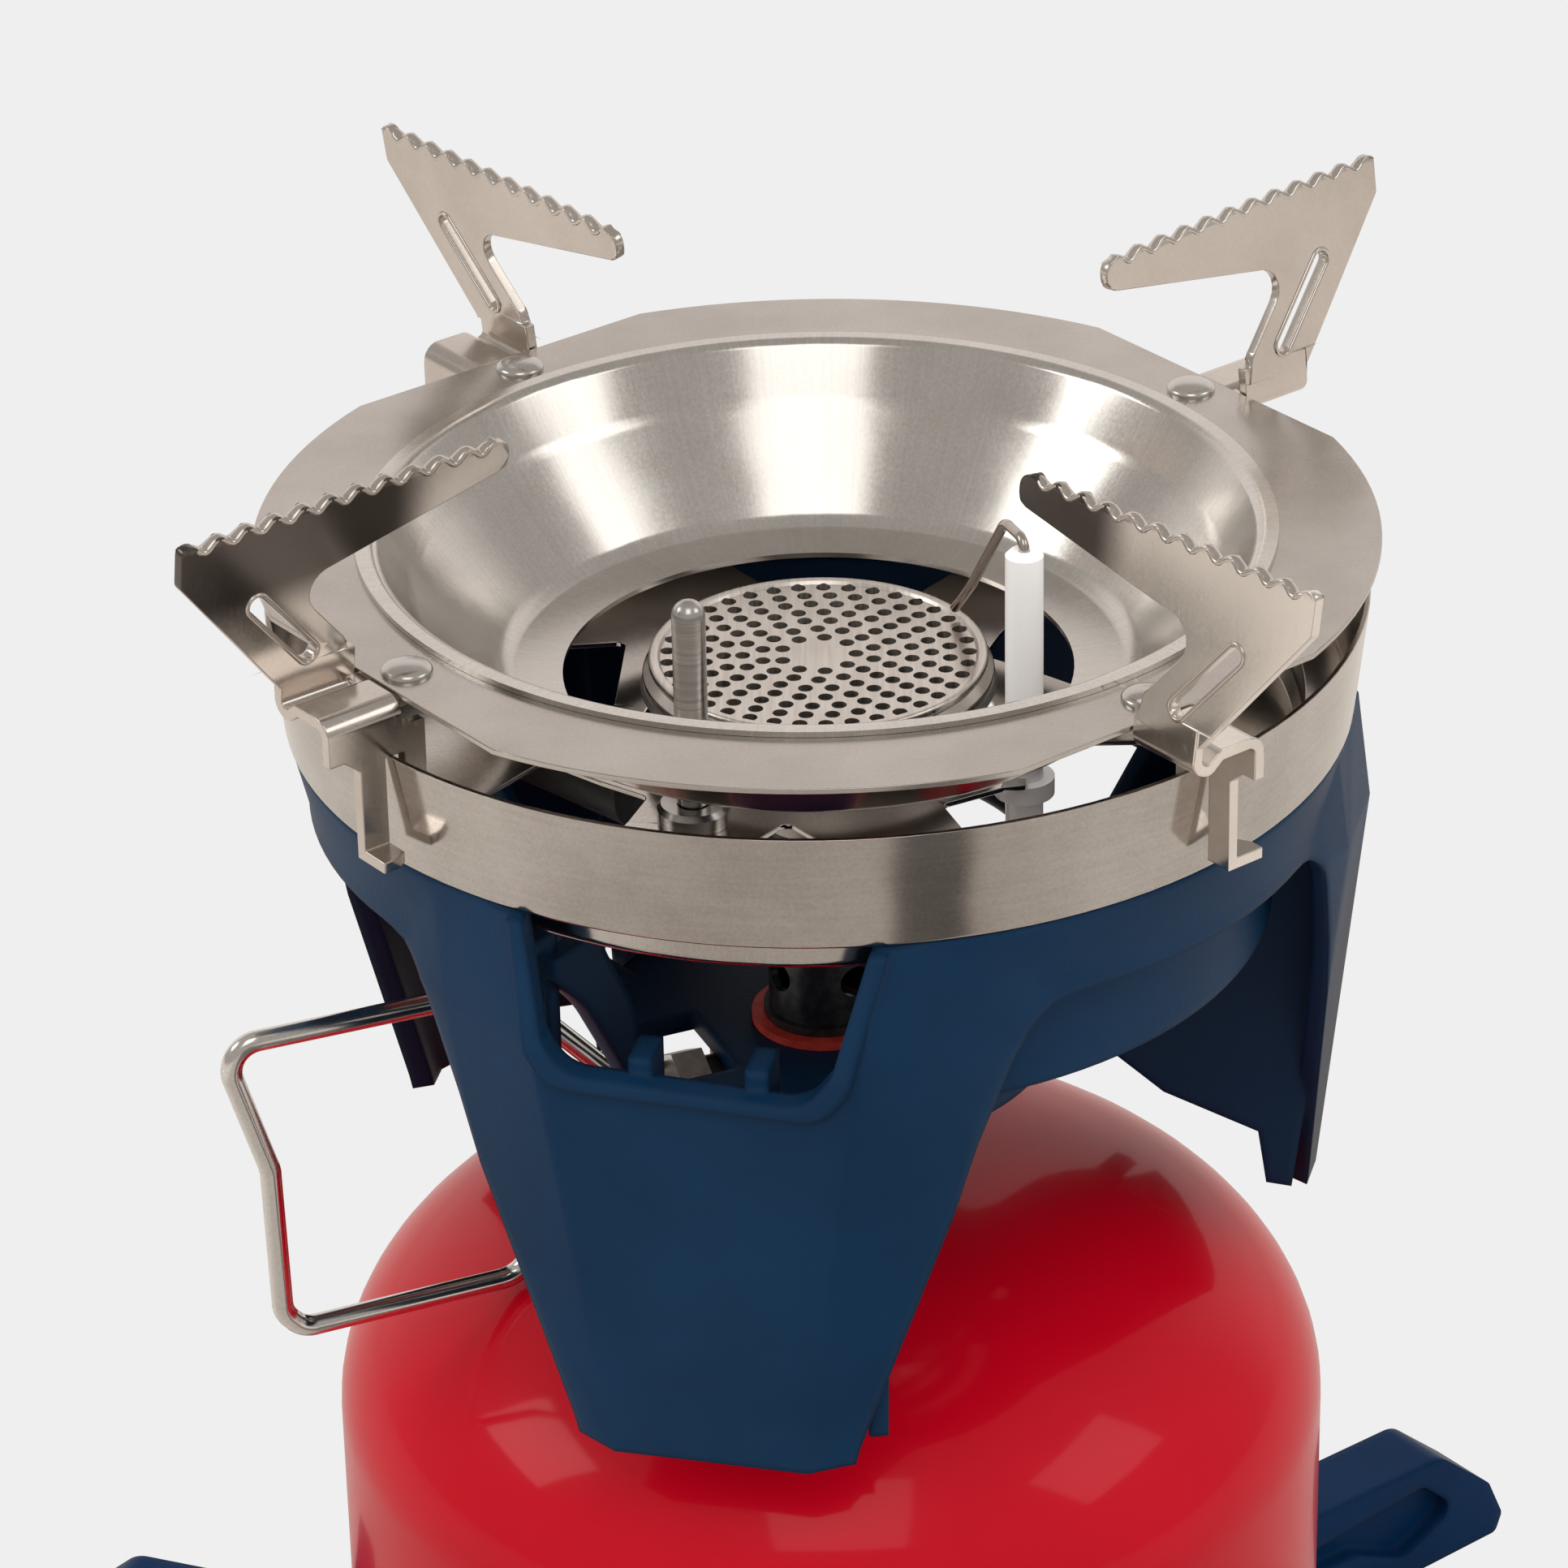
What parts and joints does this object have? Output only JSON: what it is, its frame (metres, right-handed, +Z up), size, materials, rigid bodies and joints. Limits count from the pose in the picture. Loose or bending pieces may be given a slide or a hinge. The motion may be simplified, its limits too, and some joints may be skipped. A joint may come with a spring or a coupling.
{
  "type": "camping stove",
  "caption": "Screw-on gas camping stove with toothed folding-style pot arms, dished support, perforated burner and wire valve handle on a cartridge with a fold-out stand.",
  "frame": {"origin": "on the stove's axis, at ground level under the rivet of the stand", "axes": "+Z up along the burner's axis, +Y away from the front leg's side, +X to the right seen from the front"},
  "size_m": [0.1824, 0.1716, 0.1925],
  "materials": {
    "stand_plastic": "satin",
    "zinc_steel": "satin",
    "red_paint": "gloss",
    "can_steel": "satin",
    "dark_metal": "satin",
    "seal_rubber": "matte",
    "brass": "satin",
    "red_washer": "matte",
    "spindle_steel": "satin",
    "handle_chrome": "gloss",
    "blue_plastic": "matte",
    "ring_steel": "satin",
    "tube_dark": "satin",
    "cup_steel": "satin",
    "rim_steel": "satin",
    "disc_steel": "satin",
    "pin_steel": "gloss",
    "ceramic": "gloss",
    "spark_wire": "satin",
    "lead_black": "satin",
    "piezo_black": "satin",
    "button_red": "gloss",
    "flange_steel": "satin",
    "dish_steel": "gloss",
    "arm_steel": "satin",
    "support_rivets": "satin"
  },
  "bodies": {
    "cartridge": {"cartridge_shell": "red_paint", "cartridge_base": "can_steel", "cartridge_valve_cup": "can_steel", "cartridge_valve_stem": "zinc_steel", "stand_front_leg": "stand_plastic", "stand_rivet": "zinc_steel"},
    "left_stand_leg": {"stand_left_leg": "stand_plastic"},
    "right_stand_leg": {"stand_right_leg": "stand_plastic"},
    "screw_seal": {"neck_seal": "seal_rubber"},
    "stove": {"valve_block": "dark_metal", "depressor_pin": "brass", "gas_jet": "brass", "red_washer": "red_washer", "packing_nut": "zinc_steel", "moulded_body": "blue_plastic", "burner_ring": "ring_steel", "mixing_tube": "tube_dark", "burner_cup": "cup_steel", "burner_rim": "rim_steel", "burner_disc": "disc_steel", "flame_pin": "pin_steel", "pin_collar": "pin_steel", "electrode_ceramic": "ceramic", "electrode_wire": "spark_wire", "ignition_lead": "lead_black", "piezo_barrel": "piezo_black"},
    "spindle": {"valve_spindle": "spindle_steel"},
    "handle": {"wire_handle": "handle_chrome"},
    "igniter_button": {"piezo_button": "button_red"},
    "pot_support": {"support_flange": "flange_steel", "reflector_dish": "dish_steel", "arm_back_right": "arm_steel", "arm_back_left": "arm_steel", "arm_front_left": "arm_steel", "arm_front_right": "arm_steel", "support_rivets": "support_rivets"}
  },
  "joints": [
    {"name": "seal_lift", "type": "slide", "parent": "cartridge", "child": "screw_seal", "axis": [0, 0, 1], "range_m": [0, 0.00817]},
    {"name": "stove_unscrew", "type": "hinge", "parent": "screw_seal", "child": "stove", "pos_m": [0, 0, 0.1], "axis": [0, 0, 1], "range_deg": [0, 3240]},
    {"name": "valve_turn", "type": "hinge", "parent": "stove", "child": "spindle", "pos_m": [-0.01841, -0.00782, 0.1062], "axis": [-0.9205, -0.3907, 0], "range_deg": [0, 720]},
    {"name": "handle_fold", "type": "hinge", "parent": "spindle", "child": "handle", "pos_m": [-0.02255, -0.00957, 0.1062], "axis": [0, 0, 1], "range_deg": [-24, 24]},
    {"name": "button_press", "type": "slide", "parent": "stove", "child": "igniter_button", "axis": [0.7254, -0.6884, 0], "range_m": [0, 0.0035], "stiffness_N_per_m": 800, "springref_m": -0.002},
    {"name": "support_lift", "type": "slide", "parent": "stove", "child": "pot_support", "axis": [0, 0, 1], "range_m": [0, 0.02]},
    {"name": "left_leg_fold", "type": "hinge", "parent": "cartridge", "child": "left_stand_leg", "pos_m": [0, 0, 0.004], "axis": [0, 0, 1], "range_deg": [0, 80]},
    {"name": "right_leg_fold", "type": "hinge", "parent": "cartridge", "child": "right_stand_leg", "pos_m": [0, 0, 0.004], "axis": [0, 0, 1], "range_deg": [-80, 0]}
  ],
  "couplings": [
    {"joint": "seal_lift", "follows": "stove_unscrew", "m_per_rad": 0.00014435}
  ]
}
